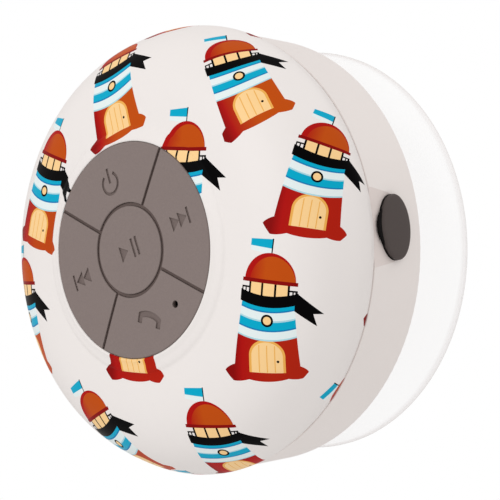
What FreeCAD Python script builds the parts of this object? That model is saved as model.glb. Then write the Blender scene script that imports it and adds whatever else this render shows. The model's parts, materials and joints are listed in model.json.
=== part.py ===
import FreeCAD, Part
import math
import os

# Shower speaker, in millimetres.
# The object is turned about one axis, the Y axis. Its front faces -Y and +Z is up, with the
# power key at 12 o'clock. The origin is the centre of the suction cup's face on the wall.
# "Depth" is the distance in front of the wall, so a point at depth d has y = -d.
# "Clock" is an angle in degrees from 12 o'clock, clockwise as seen from the front.

V = FreeCAD.Vector
CENTRE = V(0, 0, 0)
AXIS = V(0, 1, 0)
FRONT = V(0, -1, 0)

# Driving dimensions
BODY_RADIUS = 43.0          # largest radius, on the front shell
PARTING_DEPTH = 30.55       # where the two shells meet
HOUSING_RADIUS = 42.4       # rear housing at the parting line
HOUSING_BACK_RADIUS = 41.6  # rear housing at its back edge
BACK_DEPTH = 17.35          # back face of the rear housing
BACK_RIM_DEPTH = 16.2       # raised rim round the back face
BACK_RIM_INSIDE = 40.0
WALL = 1.8                  # shell walls
CUP_RADIUS = 40.1           # suction cup's rim
KEY_TRAVEL = 0.5
CLEARANCE = 0.05            # running clearance between parts that move
CONTACT_GAP = 0.02          # between parts that rest on each other

# Front shell
EDGE_RADIUS = 42.1
CREASE_RADIUS = 22.9
CREASE_DEPTH = 49.5
OPENING_RADIUS = 20.42
COLLAR_RADIUS = 20.6
COLLAR_DEPTH = 50.42
LEDGE_DEPTH = 48.9          # the keypad mat is pressed against this ledge from inside
LEDGE_RADIUS = 22.5
REBATE_OUTSIDE = 41.1       # groove that fits over the rear housing's spigot
REBATE_INSIDE = 39.0
REBATE_HEIGHT = 1.35
CASE_POST_RADIUS = 3.0
BOARD_POST_RADIUS = 2.6

# Keypad
KEYPAD_RADIUS = 20.24
KEYPAD_EDGE_DEPTH = 50.45
KEYPAD_CROWN = 0.45         # rise of the keypad's middle above its edge
CENTRE_GROOVE_RADIUS = 8.56
GROOVE_WIDTH = 0.68
GROOVE_DEPTH = 0.45
ICON_DEPTH = 0.3
ICON_LINE = 0.58
KEY_RING_RADIUS = 13.6      # where the outer keys' icons and switches are
KEY_CLOCKS = [None, 0, 90, 180, 270]
KEY_BACK_DEPTH = LEDGE_DEPTH + 0.6
WEB_FRONT_DEPTH = LEDGE_DEPTH - CONTACT_GAP
WEB_THICKNESS = 1.2
SKIRT_THICKNESS = 1.7
PUSHER_RADIUS = 1.9
PUSHER_CLEARANCE = 0.1
MIC_X = 7.0
MIC_Z = -13.7
MIC_HOLE_RADIUS = 0.7

# Main board
BOARD_FRONT_DEPTH = 43.6
BOARD_THICKNESS = 1.2
BOARD_BACK_DEPTH = BOARD_FRONT_DEPTH - BOARD_THICKNESS
BOARD_RADIUS = 30.0
BOARD_SCREW_RING = 27.0
SWITCH_SIZE = 4.5
SWITCH_HEIGHT = 1.6
PLUNGER_RADIUS = 1.0
PLUNGER_FRONT_DEPTH = 45.9
SOUND_HOLE_RADIUS = 0.8     # through the mat and the boot to the microphone
SOCKET_HEIGHT = 2.4         # of the lead connectors
LEAD_RING = 25.5
BATTERY_LEAD_CLOCK = 74
SPEAKER_LEAD_CLOCK = 270

# Battery cell
BATTERY_BACK_DEPTH = 37.6
BATTERY_FRONT_DEPTH = 42.2

# Screw posts at the four diagonals
DIAGONALS = [45, 135, 225, 315]
CASE_SCREW_RING = 35.0
CASE_SCREW_RADIUS = 1.25
SPEAKER_SCREW_RING = 22.0
SMALL_SCREW_RADIUS = 1.0

# Rear housing
HOUSING_INSIDE = 40.4
FLOOR_DEPTH = BACK_DEPTH + WALL
SPIGOT_RADIUS = 40.3
SPIGOT_INSIDE = 38.9
SPIGOT_DEPTH = 32.0
POST_TOP_DEPTH = 30.0
COUNTERBORE_RADIUS = 2.5
COUNTERBORE_DEPTH = 23.6
SLOT_COUNT = 12             # sound slots in the back wall
SLOT_WIDTH = 1.8
SLOT_INSIDE = 10.2
SLOT_OUTSIDE = 15.6

# Suction cup and its stud
STUD_NECK_RADIUS = 4.5
STUD_HEAD_RADIUS = 6.9
STUD_BASE_RADIUS = 6.5
HUB_RADIUS = 8.5
HUB_DEPTH = 16.9
SOCKET_LIP_DEPTH = 18.55
SOCKET_END_DEPTH = 21.2
BOSS_RADIUS = 8.4
BOSS_DEPTH = 22.3

# Charging port, on the side wall
PORT_CLOCK = 107.3
PORT_DEPTH = 24.05          # middle of the opening
PLUG_DEPTH = 24.35          # middle of the plug's oval face
PLUG_HALF_LENGTH = 6.05
PLUG_HALF_WIDTH = 4.0
PLUG_FACE = 42.75           # distance of the plug's outer face from the axis
POCKET_FLOOR = 41.5
POCKET_CLEARANCE = 0.07
TETHER_DEPTH = 21.6
RECESS_SINK = 0.63          # how far the flat in front of the plug is below the housing
RECESS_SLOPE = -1.6         # follows the wall, which narrows towards its back

# Charging board, inside the port
CHARGER_BACK_DEPTH = 21.7
CHARGER_FRONT_DEPTH = 22.65
CHARGER_SCREW_RADIUS = 0.8
CHARGER_SCREW_ASIDE = 5.2
CHARGER_SCREW_REACH = 32.6

# Speaker driver, facing the back wall
FLANGE_RADIUS = 20.0
FLANGE_DEPTH = 21.95
FLANGE_FRONT_DEPTH = 23.15
EAR_RADIUS = 2.6            # round the flange's four screws
SEAT_OUTSIDE = 20.3         # the ring that the flange's gasket stands on
SEAT_INSIDE = 18.5
SEAT_HEIGHT = 2.0
SPIDER_DEPTH = 28.6
COIL_INSIDE = 6.35
COIL_FRONT_DEPTH = 32.9
YOKE_FRONT_DEPTH = 36.8
YOKE_RIM_DEPTH = 30.35


# Shape helpers

def spin(outline):
    """Turned solid. The outline holds (radius, depth) corners."""
    points = [V(radius, -depth, 0) for radius, depth in outline]
    face = Part.Face(Part.makePolygon(points + points[:1]))
    return face.revolve(CENTRE, AXIS, 360)


def spin_edges(edges):
    """Turned solid from the edges of a closed outline."""
    face = Part.Face(Part.Wire(Part.__sortEdges__(edges)))
    return face.revolve(CENTRE, AXIS, 360)


def line(start, end):
    return Part.makeLine(V(start[0], -start[1], 0), V(end[0], -end[1], 0))


def disc(radius, back, front, x=0.0, z=0.0):
    return Part.makeCylinder(radius, front - back, V(x, -back, z), FRONT)


def ring(outer, inner, back, front, x=0.0, z=0.0):
    return disc(outer, back, front, x, z).cut(disc(inner, back, front, x, z))


def block(width, height, back, front, x=0.0, z=0.0):
    return Part.makeBox(width, front - back, height, V(x - width / 2, -front, z - height / 2))


def at_clock(shape, clock):
    turned = shape.copy()
    turned.rotate(CENTRE, AXIS, clock)
    return turned


def clock_place(radius, clock):
    """The x and z of a point on a circle."""
    angle = math.radians(clock)
    return radius * math.sin(angle), radius * math.cos(angle)


def at_diagonals(shape):
    """Four copies of a shape that was made at 12 o'clock."""
    return [at_clock(shape, clock) for clock in DIAGONALS]


def group(shapes):
    return Part.makeCompound(shapes)


def prism(points, back, front):
    """Straight solid along the axis from (x, z) corners."""
    corners = [V(x, -back, z) for x, z in points]
    face = Part.Face(Part.makePolygon(corners + corners[:1]))
    return face.extrude(FRONT * (front - back))


def screw(ring_radius, seat, reach, radius, forward):
    """Pan-head screw at 12 o'clock. Its head sits at the depth seat, its tip at reach."""
    head_radius = radius * 1.9
    head_height = radius * 1.25
    back, front = (seat - head_height, seat) if forward else (seat, seat + head_height)
    head = disc(head_radius, back, front, 0, ring_radius)
    top = back if forward else front
    rim = [e for e in head.Edges if abs(e.CenterOfMass.y + top) < 0.01]
    head = head.makeFillet(head_height * 0.4, rim)
    inward = head_height / 2 if forward else -head_height / 2
    drive = (min(top - inward, top + inward), max(top - inward, top + inward))
    for width, height in [(radius * 1.8, radius * 0.35), (radius * 0.35, radius * 1.8)]:
        head = head.cut(block(width, height, *drive, 0, ring_radius))
    shank = disc(radius, min(seat, reach), max(seat, reach), 0, ring_radius)
    return head.fuse(shank).removeSplitter()


def wire(points, radius):
    """Round lead along a smooth curve through (x, depth, z) points."""
    curve = Part.BSplineCurve()
    curve.interpolate([V(x, -depth, z) for x, depth, z in points])
    start = curve.value(curve.FirstParameter)
    along = curve.tangent(curve.FirstParameter)[0]
    section = Part.Wire(Part.makeCircle(radius, start, along))
    return Part.Wire(curve.toShape()).makePipeShell([section], True, False)


# Front shell

def dome_curve():
    """Outer outline of the front shell, from the parting edge to the crease at the collar."""
    curve = Part.BSplineCurve()
    outline = [
        (EDGE_RADIUS, PARTING_DEPTH),
        (BODY_RADIUS, 33.0),
        (42.1, 37.4),
        (39.2, 43.0),
        (33.5, 47.3),
        (CREASE_RADIUS, CREASE_DEPTH),
    ]
    curve.interpolate([V(radius, -depth, 0) for radius, depth in outline])
    return curve


def inner_curve(outer, wall, count=9):
    """The curve that runs inside another at a constant distance."""
    first, last = outer.FirstParameter, outer.LastParameter
    points = []
    for step in range(count):
        at = first + (last - first) * step / (count - 1)
        along = outer.tangent(at)[0]
        inward = V(along.y, -along.x, 0)
        points.append(outer.value(at) + inward * wall)
    curve = Part.BSplineCurve()
    curve.interpolate(points)
    return curve


def dome_solid():
    """The front shell's outer form with its raised collar, filled."""
    dome = dome_curve()
    collar = Part.BSplineCurve()
    collar.interpolate(
        Points=[
            V(CREASE_RADIUS, -CREASE_DEPTH, 0),
            V(21.7, -(CREASE_DEPTH + 0.45), 0),
            V(COLLAR_RADIUS, -COLLAR_DEPTH, 0),
        ],
        InitialTangent=V(-1, -0.12, 0),
        FinalTangent=V(-1, -0.05, 0),
    )
    edges = [
        dome.toShape(),
        collar.toShape(),
        line((COLLAR_RADIUS, COLLAR_DEPTH), (0, COLLAR_DEPTH)),
        line((0, COLLAR_DEPTH), (0, PARTING_DEPTH)),
        line((0, PARTING_DEPTH), (EDGE_RADIUS, PARTING_DEPTH)),
    ]
    return spin_edges(edges)


def dome_hollow():
    """The space inside the front shell, up to the ledge that stops the keypad mat."""
    inner = inner_curve(dome_curve(), WALL)
    low = inner.value(inner.FirstParameter)
    high = inner.value(inner.LastParameter)
    base = PARTING_DEPTH - 1
    edges = [
        inner.toShape(),
        line((high.x, -high.y), (LEDGE_RADIUS, -high.y)),
        line((LEDGE_RADIUS, -high.y), (LEDGE_RADIUS, LEDGE_DEPTH)),
        line((LEDGE_RADIUS, LEDGE_DEPTH), (0, LEDGE_DEPTH)),
        line((0, LEDGE_DEPTH), (0, base)),
        line((0, base), (low.x, base)),
        line((low.x, base), (low.x, -low.y)),
    ]
    return spin_edges(edges)


def front_shell():
    solid = dome_solid()
    shell = solid.cut(dome_hollow())
    rebate_end = PARTING_DEPTH + REBATE_HEIGHT
    shell = shell.cut(ring(REBATE_OUTSIDE, REBATE_INSIDE, PARTING_DEPTH - 1, rebate_end))
    case_post = disc(
        CASE_POST_RADIUS, POST_TOP_DEPTH + CLEARANCE, COLLAR_DEPTH, 0, CASE_SCREW_RING
    )
    board_post = disc(
        BOARD_POST_RADIUS, BOARD_FRONT_DEPTH + CONTACT_GAP, COLLAR_DEPTH, 0, BOARD_SCREW_RING
    )
    below = disc(BODY_RADIUS, POST_TOP_DEPTH - 1, PARTING_DEPTH)
    for post in at_diagonals(case_post) + at_diagonals(board_post):
        shell = shell.fuse(post.common(solid.fuse(below)))
    case_pilot = disc(CASE_SCREW_RADIUS + CONTACT_GAP, POST_TOP_DEPTH, 38.0, 0, CASE_SCREW_RING)
    board_pilot = disc(
        SMALL_SCREW_RADIUS + CONTACT_GAP, BOARD_FRONT_DEPTH, 46.4, 0, BOARD_SCREW_RING
    )
    for pilot in at_diagonals(case_pilot) + at_diagonals(board_pilot):
        shell = shell.cut(pilot)
    shell = shell.cut(disc(OPENING_RADIUS, LEDGE_DEPTH - 1, COLLAR_DEPTH + 1)).removeSplitter()
    lip = [e for e in shell.Edges if is_circle(e, OPENING_RADIUS, COLLAR_DEPTH)]
    return shell.makeFillet(0.2, lip)


def is_circle(edge, radius, depth):
    """True for an edge that is a circle of this radius at this depth, about the axis."""
    if edge.Degenerated or not isinstance(edge.Curve, Part.Circle):
        return False
    curve = edge.Curve
    return abs(curve.Radius - radius) < 0.01 and abs(curve.Center.y + depth) < 0.01


# Keypad

def crowned_disc(drop, back):
    """A disc as wide as the keypad whose front is the keypad's crowned face, lowered by drop."""
    bend = (KEYPAD_RADIUS ** 2 + KEYPAD_CROWN ** 2) / (2 * KEYPAD_CROWN)
    edge = KEYPAD_EDGE_DEPTH - drop
    apex = edge + KEYPAD_CROWN
    half = KEYPAD_RADIUS / 2
    half_depth = apex - (bend - math.sqrt(bend ** 2 - half ** 2))
    crown = Part.Arc(V(KEYPAD_RADIUS, -edge, 0), V(half, -half_depth, 0), V(0, -apex, 0))
    edges = [
        crown.toShape(),
        line((0, apex), (0, back)),
        line((0, back), (KEYPAD_RADIUS, back)),
        line((KEYPAD_RADIUS, back), (KEYPAD_RADIUS, edge)),
    ]
    # Turned so that the surface's seam runs along a groove
    return at_clock(spin_edges(edges), 45)


def groove_pattern(width, back, front):
    """The ring round the middle key and the four spokes that part the outer keys."""
    outer = CENTRE_GROOVE_RADIUS + width / 2
    inner = CENTRE_GROOVE_RADIUS - width / 2
    pattern = ring(outer, inner, back, front)
    length = KEYPAD_RADIUS + 1 - CENTRE_GROOVE_RADIUS
    spoke = block(width, length, back, front, 0, CENTRE_GROOVE_RADIUS + length / 2)
    for arm in at_diagonals(spoke):
        pattern = pattern.fuse(arm)
    return pattern


def key_blanks():
    """The keypad's crowned face cut into its five keys, with soft edges."""
    face = crowned_disc(0, KEY_BACK_DEPTH)
    rim = [e for e in face.Edges if is_circle(e, KEYPAD_RADIUS, KEYPAD_EDGE_DEPTH)]
    face = face.makeFillet(0.35, rim)
    keys = face.cut(groove_pattern(GROOVE_WIDTH, KEY_BACK_DEPTH - 1, KEYPAD_EDGE_DEPTH + 2))
    return [soften(key) for key in keys.Solids]


def soften(key, radius=0.17):
    """Round the edges where a key's crowned face meets the grooves."""
    crown = max(key.Faces, key=lambda face: face.Area * (face.CenterOfMass.y < -50.3))
    chosen = []
    for edge in crown.Edges:
        if edge.Degenerated:
            continue
        arc = isinstance(edge.Curve, Part.Circle) and edge.Curve.Radius > CENTRE_GROOVE_RADIUS + 1
        if not arc:
            chosen.append(edge)
    return key.makeFillet(radius, chosen).Solids[0]


def key_at(clock):
    """The outer key whose middle is at this clock angle, or the middle key for None."""
    for key in BLANKS:
        middle = key.CenterOfMass
        distance = math.hypot(middle.x, middle.z)
        if clock is None and distance < 1:
            return key
        if clock is not None and distance > 1:
            x, z = clock_place(distance, clock)
            if math.hypot(middle.x - x, middle.z - z) < 1:
                return key
    raise ValueError("no key there")


def finish_key(clock, icon):
    """A key with its sunk icon and the pusher behind it."""
    sunk = icon.cut(crowned_disc(ICON_DEPTH, KEY_BACK_DEPTH - 1))
    x, z = switch_place(clock)
    pusher = disc(PUSHER_RADIUS, PLUNGER_FRONT_DEPTH + CONTACT_GAP, KEY_BACK_DEPTH, x, z)
    return key_at(clock).fuse(pusher).cut(sunk).removeSplitter()


def switch_place(clock):
    return (0, 0) if clock is None else clock_place(KEY_RING_RADIUS, clock)


def icon_prism(points):
    return prism(points, KEY_BACK_DEPTH, KEYPAD_EDGE_DEPTH + 2)


def icon_bar(x, z, width, height):
    return block(width, height, KEY_BACK_DEPTH, KEYPAD_EDGE_DEPTH + 2, x, z)


def power_icon():
    back, front = KEY_BACK_DEPTH, KEYPAD_EDGE_DEPTH + 2
    middle = 2.03
    loop = ring(middle + ICON_LINE / 2, middle - ICON_LINE / 2, back, front)
    gap = icon_prism([(0, 0), (-2.9, 4), (2.9, 4)])
    bar = icon_bar(0, 1.5, ICON_LINE, 3.0)
    sign = loop.cut(gap).fuse(bar)
    sign.translate(V(0, 0, KEY_RING_RADIUS))
    return sign


def skip_icon(direction):
    """Two triangles and a bar, pointing along +X or -X."""
    half = 1.5
    start = 11.85
    length = 2.1
    overlap = 0.12
    first = icon_prism([(start, -half), (start, half), (start + length, 0)])
    second_start = start + length - overlap
    second = icon_prism([(second_start, -half), (second_start, half), (second_start + length, 0)])
    bar = icon_bar(second_start + length + 0.42, 0, ICON_LINE * 0.9, 3.2)
    sign = first.fuse(second).fuse(bar)
    return sign if direction > 0 else at_clock(sign, 180)


def play_pause_icon():
    sign = icon_prism([(-2.5, -1.6), (-2.5, 1.6), (-0.3, 0)])
    for x in (1.1, 2.25):
        sign = sign.fuse(icon_bar(x, 0, ICON_LINE, 3.7))
    return sign


def handset_icon():
    """A telephone handset: a shallow thick arch with a foot at each end, leaning to the right."""
    back, front = KEY_BACK_DEPTH, KEYPAD_EDGE_DEPTH + 2
    outer, thickness, rise, half_width = 5.87, 1.2, 0.81, 2.95
    arch = ring(outer, outer - thickness, back, front)
    arch.translate(V(0, 0, rise - outer))
    sign = arch.common(icon_bar(0, 0, 2 * half_width, 3.0))
    for side in (-1, 1):
        sign = sign.fuse(icon_bar(side * (half_width - 0.57), -1.05, 1.14, 1.7))
    sign.rotate(CENTRE, AXIS, 35.6)
    sign.translate(V(0.15, 0, -13.25))
    return sign


def power_key():
    return finish_key(0, power_icon())


def next_key():
    return finish_key(90, skip_icon(1))


def previous_key():
    return finish_key(270, skip_icon(-1))


def play_pause_key():
    return finish_key(None, play_pause_icon())


def call_key():
    sound_hole = disc(MIC_HOLE_RADIUS, KEY_BACK_DEPTH - 1, KEYPAD_EDGE_DEPTH + 2, MIC_X, MIC_Z)
    return finish_key(180, handset_icon()).cut(sound_hole)


def keypad_mat():
    """The web behind the keys, its ribs between them and the skirt that stands on the board."""
    web_back = WEB_FRONT_DEPTH - WEB_THICKNESS
    outer = LEDGE_RADIUS - 0.2
    mat = disc(outer, web_back, WEB_FRONT_DEPTH)
    skirt = ring(outer, outer - SKIRT_THICKNESS, BOARD_FRONT_DEPTH + CONTACT_GAP, web_back)
    mat = mat.fuse(skirt)
    ribs = groove_pattern(GROOVE_WIDTH - 2 * CLEARANCE, web_back, KEYPAD_EDGE_DEPTH + 2)
    mat = mat.fuse(ribs.common(crowned_disc(GROOVE_DEPTH, web_back)))
    holes = [(PUSHER_RADIUS + PUSHER_CLEARANCE, *switch_place(clock)) for clock in KEY_CLOCKS]
    holes.append((SOUND_HOLE_RADIUS, MIC_X, MIC_Z))
    for radius, x, z in holes:
        mat = mat.cut(disc(radius, web_back - 1, WEB_FRONT_DEPTH + 1, x, z))
    return mat.removeSplitter()


# Main board and what it carries

def main_board():
    board = disc(BOARD_RADIUS, BOARD_BACK_DEPTH, BOARD_FRONT_DEPTH)
    hole = disc(SMALL_SCREW_RADIUS + 0.1, BOARD_BACK_DEPTH, BOARD_FRONT_DEPTH, 0, BOARD_SCREW_RING)
    for place in at_diagonals(hole):
        board = board.cut(place)
    return board


def board_screws():
    seat = BOARD_BACK_DEPTH - CONTACT_GAP
    return group(at_diagonals(screw(BOARD_SCREW_RING, seat, 46.2, SMALL_SCREW_RADIUS, True)))


def tact_switches():
    back = BOARD_FRONT_DEPTH + CONTACT_GAP
    bodies = []
    for clock in KEY_CLOCKS:
        x, z = switch_place(clock)
        body = block(SWITCH_SIZE, SWITCH_SIZE, back, back + SWITCH_HEIGHT, x, z)
        bore = disc(PLUNGER_RADIUS + CLEARANCE, back + 0.15, back + SWITCH_HEIGHT + 1, x, z)
        bodies.append(body.cut(bore))
    return group(bodies)


def plunger(clock):
    x, z = switch_place(clock)
    back = BOARD_FRONT_DEPTH + KEY_TRAVEL + 0.22
    return disc(PLUNGER_RADIUS, back, PLUNGER_FRONT_DEPTH, x, z)


def microphone():
    capsule = disc(2.0, BOARD_FRONT_DEPTH + CONTACT_GAP, 45.1, MIC_X, MIC_Z)
    return capsule.cut(disc(0.5, 44.6, 46.0, MIC_X, MIC_Z))


def microphone_boot():
    back = BOARD_FRONT_DEPTH + CONTACT_GAP
    boot = disc(2.9, back, 47.6, MIC_X, MIC_Z).cut(disc(2.05, back, 45.2, MIC_X, MIC_Z))
    return boot.cut(disc(SOUND_HOLE_RADIUS, 45.0, 48.0, MIC_X, MIC_Z))


def status_led():
    x, z = 11.4, -11.4
    base = block(1.6, 1.6, BOARD_FRONT_DEPTH + CONTACT_GAP, 44.2, x, z)
    lens = Part.makeSphere(0.65, V(x, -44.2, z)).common(block(1.6, 1.6, 44.2, 45.0, x, z))
    return base.fuse(lens).removeSplitter()


def chip(width, height, thickness, x, z):
    """A square chip on the back of the board, with its first-pin dimple."""
    front = BOARD_BACK_DEPTH - CONTACT_GAP
    body = block(width, height, front - thickness, front, x, z)
    dimple = disc(0.35, front - thickness, front - thickness + 0.15, x - width / 2 + 0.9, z + 1)
    return body.cut(dimple)


def audio_processor():
    return chip(7.0, 7.0, 0.9, 0, 19.0)


def amplifier_chip():
    return chip(5.0, 4.0, 1.4, -9.0, -18.5)


def board_components():
    """Crystal, coils, can capacitors and the smaller blocks on the back of the board."""
    front = BOARD_BACK_DEPTH - CONTACT_GAP
    parts = [
        block(3.2, 2.5, front - 0.8, front, 7.5, 19.0),
        block(3.0, 3.0, front - 1.6, front, -2.5, -19.5),
        block(3.0, 3.0, front - 1.6, front, 2.0, -19.5),
        disc(2.0, front - 4.6, front, 8.5, -19.5),
        disc(2.0, front - 4.6, front, -8.5, 19.5),
    ]
    for step in range(6):
        parts.append(block(1.0, 0.6, front - 0.5, front, -4.5 + 1.8 * step, 24.5))
        parts.append(block(0.6, 1.0, front - 0.5, front, -4.5 + 1.8 * step, -23.5))
    return group(parts)


def lead_connectors():
    """The three plug-in sockets for the battery, speaker and charging leads."""
    front = BOARD_BACK_DEPTH - CONTACT_GAP
    shapes = []
    for clock in (BATTERY_LEAD_CLOCK, SPEAKER_LEAD_CLOCK, PORT_CLOCK):
        body = block(4.4, 3.0, front - SOCKET_HEIGHT, front, 0, LEAD_RING)
        for side in (-1, 1):
            body = body.cut(disc(0.6, front - SOCKET_HEIGHT, front - 0.8, side, LEAD_RING))
        shapes.append(at_clock(body, clock))
    return group(shapes)


def battery_cell():
    body = block(35.0, 25.0, BATTERY_BACK_DEPTH, BATTERY_FRONT_DEPTH)
    along = [e for e in body.Edges if abs(e.Vertexes[0].X - e.Vertexes[1].X) > 1]
    body = body.makeFillet(1.4, along)
    tab = block(1.6, 14.0, BATTERY_FRONT_DEPTH - 3.2, BATTERY_FRONT_DEPTH - 1.4, 18.3, 0)
    return body.fuse(tab)


def battery_tape():
    return block(28.0, 20.0, BATTERY_FRONT_DEPTH + CONTACT_GAP, BOARD_BACK_DEPTH - CONTACT_GAP)


def battery_leads():
    """Two leads from the cell's tab to their socket."""
    shapes = []
    socket = BOARD_BACK_DEPTH - CONTACT_GAP - SOCKET_HEIGHT
    for side in (-1, 1):
        x, z = clock_place(LEAD_RING, BATTERY_LEAD_CLOCK)
        z = z + side
        points = [
            (19.15, BATTERY_FRONT_DEPTH - 2.3, z - 1.0),
            (20.6, BATTERY_FRONT_DEPTH - 2.8, z - 0.8),
            (x - 1.2, socket - 2.0, z - 0.2),
            (x, socket - 0.6, z),
            (x, socket - 0.05, z),
        ]
        shapes.append(wire(points, 0.45))
    return group(shapes)


# Rear housing

def rear_housing():
    back, floor = BACK_DEPTH, FLOOR_DEPTH
    outline = [
        (0, back), (BACK_RIM_INSIDE, back), (BACK_RIM_INSIDE, BACK_RIM_DEPTH),
        (HOUSING_BACK_RADIUS, BACK_RIM_DEPTH), (HOUSING_RADIUS, PARTING_DEPTH),
        (SPIGOT_RADIUS, PARTING_DEPTH), (SPIGOT_RADIUS, SPIGOT_DEPTH),
        (SPIGOT_INSIDE, SPIGOT_DEPTH), (SPIGOT_INSIDE, 28.0), (HOUSING_INSIDE, 27.0),
        (HOUSING_INSIDE, floor), (0, floor),
    ]
    housing = spin(outline)
    housing = housing.makeFillet(
        0.3, [e for e in housing.Edges if is_circle(e, HOUSING_BACK_RADIUS, BACK_RIM_DEPTH)]
    )
    housing = housing.makeFillet(
        0.18, [e for e in housing.Edges if is_circle(e, HOUSING_RADIUS, PARTING_DEPTH)]
    )
    ear_seat = FLANGE_DEPTH - CONTACT_GAP
    additions = [
        disc(BOSS_RADIUS, back, BOSS_DEPTH),
        ring(SEAT_OUTSIDE, SEAT_INSIDE, floor - 1, floor + SEAT_HEIGHT),
    ]
    additions += at_diagonals(disc(3.4, back, POST_TOP_DEPTH, 0, CASE_SCREW_RING))
    additions += at_diagonals(disc(1.9, floor - 1, ear_seat, 0, SPEAKER_SCREW_RING))
    additions += [disc(1.9, floor - 1, CHARGER_BACK_DEPTH, x, z) for x, z in charger_posts()]
    for piece in additions:
        housing = housing.fuse(piece)
    for tool in housing_cuts():
        housing = housing.cut(tool)
    return housing.removeSplitter()


def housing_cuts():
    """Everything taken out of the rear housing."""
    back, floor = BACK_DEPTH, FLOOR_DEPTH
    cuts = [
        disc(STUD_NECK_RADIUS + CLEARANCE, back - 1, SOCKET_END_DEPTH),
        disc(STUD_HEAD_RADIUS + CLEARANCE, SOCKET_LIP_DEPTH, SOCKET_END_DEPTH),
    ]
    counterbore = disc(COUNTERBORE_RADIUS, back - 1, COUNTERBORE_DEPTH, 0, CASE_SCREW_RING)
    passage = disc(CASE_SCREW_RADIUS + 0.1, back, POST_TOP_DEPTH + 1, 0, CASE_SCREW_RING)
    cuts += at_diagonals(counterbore.fuse(passage))
    pilot = SMALL_SCREW_RADIUS + CONTACT_GAP
    cuts += at_diagonals(disc(pilot, floor, FLANGE_DEPTH, 0, SPEAKER_SCREW_RING))
    small_pilot = CHARGER_SCREW_RADIUS + CONTACT_GAP
    cuts += [disc(small_pilot, floor, FLANGE_DEPTH, x, z) for x, z in charger_posts()]
    length, middle = SLOT_OUTSIDE - SLOT_INSIDE, (SLOT_OUTSIDE + SLOT_INSIDE) / 2
    slot = block(SLOT_WIDTH, length, back - 1, floor + 1, 0, middle)
    for end in (SLOT_INSIDE, SLOT_OUTSIDE):
        slot = slot.fuse(disc(SLOT_WIDTH / 2, back - 1, floor + 1, 0, end))
    pitch = 360 / SLOT_COUNT
    cuts += [at_clock(slot, pitch * (step + 0.5)) for step in range(SLOT_COUNT)]
    cuts.append(port_recess())
    cuts.append(port_pocket())
    cuts.append(rounded_bar(9.2, 3.5, 0.8, HOUSING_INSIDE - 2, PLUG_FACE, PORT_DEPTH))
    cuts.append(at_port(Part.makeCylinder(0.55, 4, V(0, -TETHER_DEPTH, 38.5), V(0, 0, 1))))
    return cuts


def at_port(shape):
    """Turn a shape that was made at 12 o'clock to the charging port."""
    return at_clock(shape, PORT_CLOCK)


def rounded_bar(width, height, corner, low, high, depth):
    """A bar along the port's radius, with rounded corners."""
    bar = Part.makeBox(width, height, high - low, V(-width / 2, -depth - height / 2, low))
    upright = [e for e in bar.Edges if abs(e.Vertexes[0].Z - e.Vertexes[1].Z) > 0.01]
    return at_port(bar.makeFillet(corner, upright))


def oval(half_length, half_width, low, high, depth):
    """An oval block along the port's radius."""
    shape = Part.Ellipse(V(0, 0, 0), half_length, half_width).toShape()
    face = Part.Face(Part.Wire(shape))
    solid = face.extrude(V(0, 0, high - low))
    solid.translate(V(0, -depth, low))
    return solid


def port_recess():
    """The shallow flat in front of the plug, a little deeper at the parting line."""
    front = PARTING_DEPTH + 0.5
    length = front - PLUG_DEPTH - 0.2
    flat = Part.makeBox(18, length, 4, V(-9, -front, 0))
    flat.rotate(V(0, -front, 0), V(1, 0, 0), RECESS_SLOPE)
    flat.translate(V(0, 0, HOUSING_RADIUS - RECESS_SINK))
    return at_port(flat)


def port_pocket():
    half_length = PLUG_HALF_LENGTH + POCKET_CLEARANCE
    half_width = PLUG_HALF_WIDTH + POCKET_CLEARANCE
    return at_port(oval(half_length, half_width, POCKET_FLOOR, PLUG_FACE + 1, PLUG_DEPTH))


def port_plug():
    """Rubber plug: oval cap, a pull tab on its front side and the insert behind it."""
    low = POCKET_FLOOR + CLEARANCE
    cap = oval(PLUG_HALF_LENGTH, PLUG_HALF_WIDTH, low, PLUG_FACE, PLUG_DEPTH)
    rim = [e for e in cap.Edges if e.BoundBox.ZMin > PLUG_FACE - 0.01]
    cap = cap.makeFillet(0.4, rim)
    tab = oval(3.35, 2.6, 41.97, 42.4, PLUG_DEPTH + 2.37)
    cap = at_port(cap.fuse(tab))
    insert = rounded_bar(8.4, 2.5, 0.6, HOUSING_INSIDE - 0.1, low + 0.3, PORT_DEPTH)
    return cap.fuse(insert).removeSplitter()


def plug_tether():
    """The strand that keeps the plug on the housing, with its cross bar inside the wall."""
    strand = Part.makeCylinder(0.5, 2.25, V(0, -TETHER_DEPTH, 39.2), V(0, 0, 1))
    bar = Part.makeBox(3.2, 0.9, 0.9, V(-1.6, -TETHER_DEPTH - 0.45, 39.0))
    return at_port(strand.fuse(bar).removeSplitter())


def shell_gasket():
    return ring(41.0, 40.4, PARTING_DEPTH + CONTACT_GAP, PARTING_DEPTH + 1.25)


def case_screws():
    seat = COUNTERBORE_DEPTH - CONTACT_GAP
    return group(at_diagonals(screw(CASE_SCREW_RING, seat, 36.0, CASE_SCREW_RADIUS, True)))


def screw_plugs():
    radius = COUNTERBORE_RADIUS - CLEARANCE
    plug = disc(radius, BACK_DEPTH + 0.15, BACK_DEPTH + 2.2, 0, CASE_SCREW_RING)
    return group(at_diagonals(plug))


def splash_membrane():
    return ring(17.0, BOSS_RADIUS + 0.4, FLOOR_DEPTH + CONTACT_GAP, FLOOR_DEPTH + 0.22)


# Charging board, made at 12 o'clock and turned to the port

def charger_posts():
    """The x and z of the two posts under the charging board."""
    places = []
    for side in (-1, 1):
        offset = math.degrees(math.atan2(side * CHARGER_SCREW_ASIDE, CHARGER_SCREW_REACH))
        distance = math.hypot(CHARGER_SCREW_ASIDE, CHARGER_SCREW_REACH)
        places.append(clock_place(distance, PORT_CLOCK + offset))
    return places


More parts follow.
